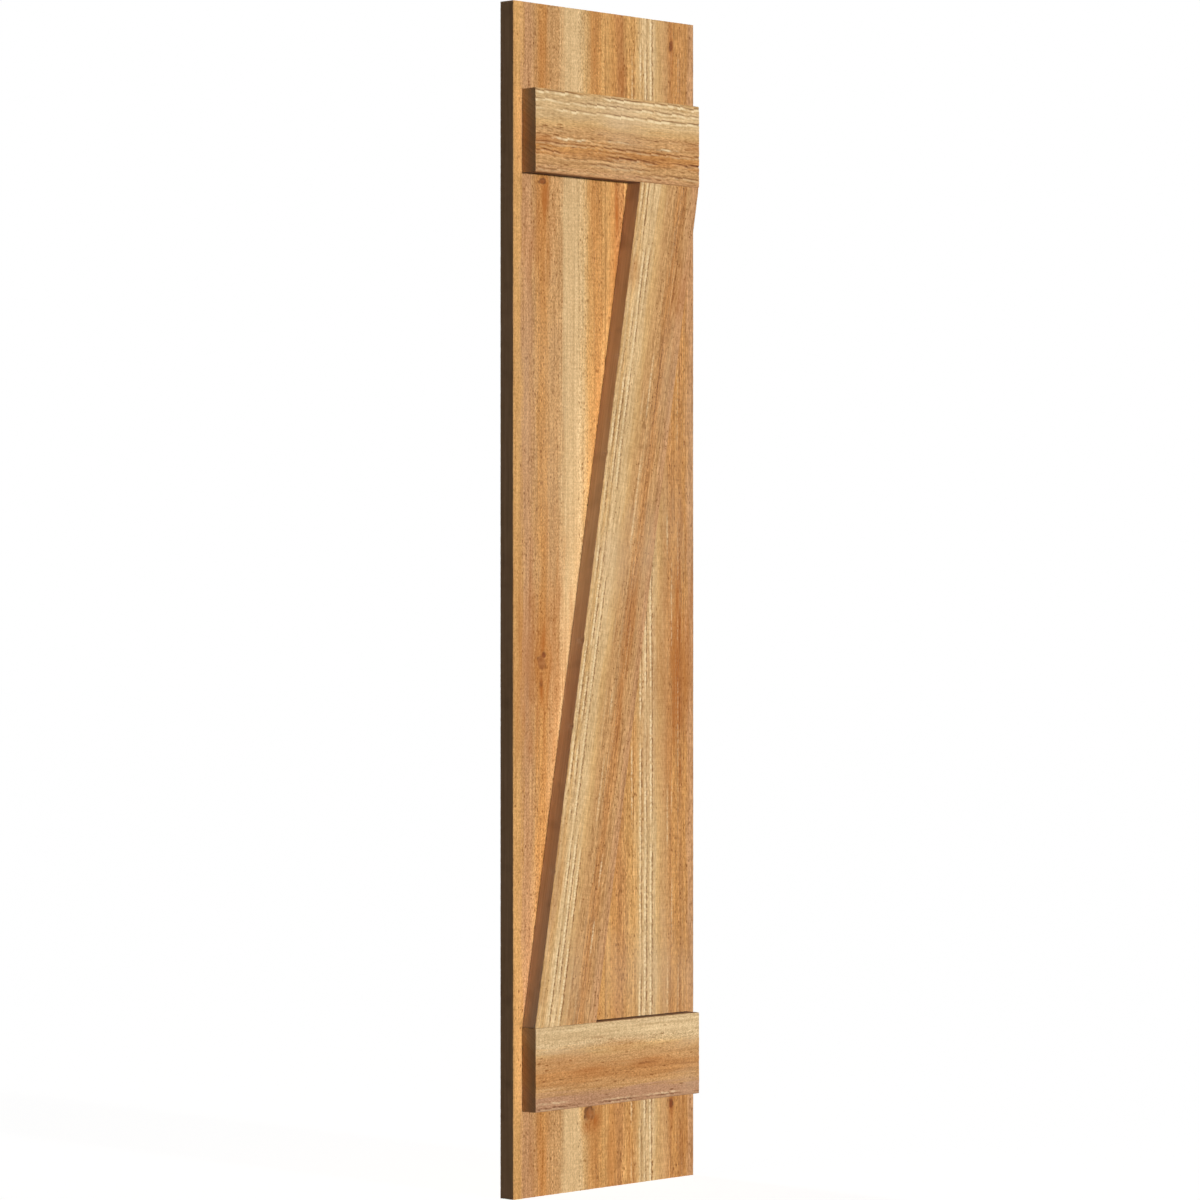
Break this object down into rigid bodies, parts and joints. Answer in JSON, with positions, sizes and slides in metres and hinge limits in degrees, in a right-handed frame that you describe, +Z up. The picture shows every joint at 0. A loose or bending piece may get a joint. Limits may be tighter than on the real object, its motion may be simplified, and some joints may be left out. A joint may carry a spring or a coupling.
{
  "type": "board and batten shutter",
  "caption": "Exterior window shutter of upright cedar boards, with a batten across each end and a diagonal brace between them, screwed from the back and fixed flat to a wall.",
  "frame": {"origin": "centre of the back face, which lies flat against the wall", "axes": "+Z up, +X to the right seen from the front, +Y into the wall; the battens and brace are on the -Y side"},
  "size_m": [0.273, 0.0381, 1.2192],
  "materials": {
    "board_cedar": "rough-sawn, unfinished",
    "batten_cedar": "rough-sawn, unfinished",
    "brace_cedar": "rough-sawn, unfinished",
    "screw_steel": "zinc-plated, satin"
  },
  "bodies": {
    "root": {"left_board": "board_cedar", "right_board": "board_cedar", "top_batten": "batten_cedar", "bottom_batten": "batten_cedar", "diagonal_brace": "brace_cedar", "top_batten_screw_1": "screw_steel", "top_batten_screw_2": "screw_steel", "top_batten_screw_3": "screw_steel", "top_batten_screw_4": "screw_steel", "bottom_batten_screw_1": "screw_steel", "bottom_batten_screw_2": "screw_steel", "bottom_batten_screw_3": "screw_steel", "bottom_batten_screw_4": "screw_steel", "brace_screw_1": "screw_steel", "brace_screw_2": "screw_steel", "brace_screw_3": "screw_steel", "brace_screw_4": "screw_steel"}
  },
  "joints": []
}
